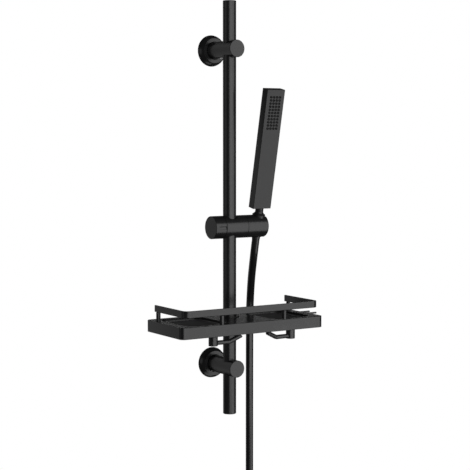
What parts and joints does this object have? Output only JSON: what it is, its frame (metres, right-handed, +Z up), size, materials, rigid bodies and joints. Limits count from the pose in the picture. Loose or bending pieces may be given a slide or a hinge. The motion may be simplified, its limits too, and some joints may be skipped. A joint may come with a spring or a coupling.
{
  "type": "wall shower column with handset and shelf",
  "caption": "Wall rail with a sliding, tilting holder for a flat handset, a hose, and a two-pan shelf with guard rail, hooks and a side fork below",
  "frame": {"origin": "centre of the upper rosette on the wall face", "axes": "+X to the right, +Y into the wall, +Z up along the rail"},
  "size_m": [0.3798, 0.1507, 1.0606],
  "materials": {
    "satin_black_metal": "satin black coating on metal",
    "satin_black_plastic": "satin black plastic",
    "grey_plastic": "plain dark grey plastic",
    "steel": "plain steel",
    "soft_rubber": "soft black rubber",
    "hose_skin": "smooth black skin",
    "tie_plastic": "soft black strap"
  },
  "bodies": {
    "column": {"rail_tube": "satin_black_metal", "rail_top_plug": "satin_black_plastic", "rail_bottom_plug": "satin_black_plastic", "upper_wall_plate": "satin_black_metal", "lower_wall_plate": "satin_black_metal", "upper_rosette": "satin_black_metal", "lower_rosette": "satin_black_metal", "upper_arm": "satin_black_metal", "lower_arm": "satin_black_metal", "upper_clamp_cap": "satin_black_metal", "lower_clamp_cap": "satin_black_metal", "upper_clamp_pad": "grey_plastic", "lower_clamp_pad": "grey_plastic", "bracket_grub_screws": "steel", "shelf_tray": "satin_black_metal", "shelf_sleeve": "satin_black_plastic", "shelf_clamp_screw": "steel", "guard_rail": "satin_black_metal", "front_left_post": "satin_black_metal", "front_right_post": "satin_black_metal", "side_left_post": "satin_black_metal", "side_right_post": "satin_black_metal", "post_screws": "steel", "left_hook": "satin_black_metal", "right_hook": "satin_black_metal", "side_fork": "satin_black_metal"},
    "carriage": {"slide_bush": "satin_black_plastic", "hose": "hose_skin", "hose_coil": "hose_skin", "coil_tie": "tie_plastic", "hose_end_ferrule": "satin_black_metal", "hose_end_washer": "soft_rubber", "hose_end_nut": "satin_black_metal"},
    "slider": {"slider_body": "satin_black_metal", "clamp_shoe": "grey_plastic", "pivot_screw": "steel", "friction_washer": "grey_plastic"},
    "knob": {"clamp_knob": "satin_black_metal"},
    "holder": {"holder": "satin_black_metal", "wave_washer": "steel", "handset_shell": "satin_black_plastic", "spray_face": "satin_black_plastic", "nozzle_mat": "soft_rubber", "handset_inlet": "satin_black_plastic", "inlet_washer": "soft_rubber", "hose_ferrule": "satin_black_metal", "cone_nut": "satin_black_metal"}
  },
  "joints": [
    {"name": "height_slide", "type": "slide", "parent": "column", "child": "carriage", "axis": [0, 0, 1], "range_m": [-0.03, 0.28]},
    {"name": "rail_swivel", "type": "hinge", "parent": "carriage", "child": "slider", "pos_m": [0, -0.064, -0.3206], "axis": [0, 0, 1], "range_deg": [-20, 20], "deforming": ["hose"]},
    {"name": "clamp_knob_turn", "type": "hinge", "parent": "slider", "child": "knob", "pos_m": [-0.03, -0.064, -0.3206], "axis": [1, 0, 0], "range_deg": [0, 180]},
    {"name": "holder_tilt", "type": "hinge", "parent": "slider", "child": "holder", "pos_m": [0.04, -0.064, -0.3206], "axis": [1, 0, 0], "range_deg": [-12, 30], "deforming": ["hose"]}
  ]
}
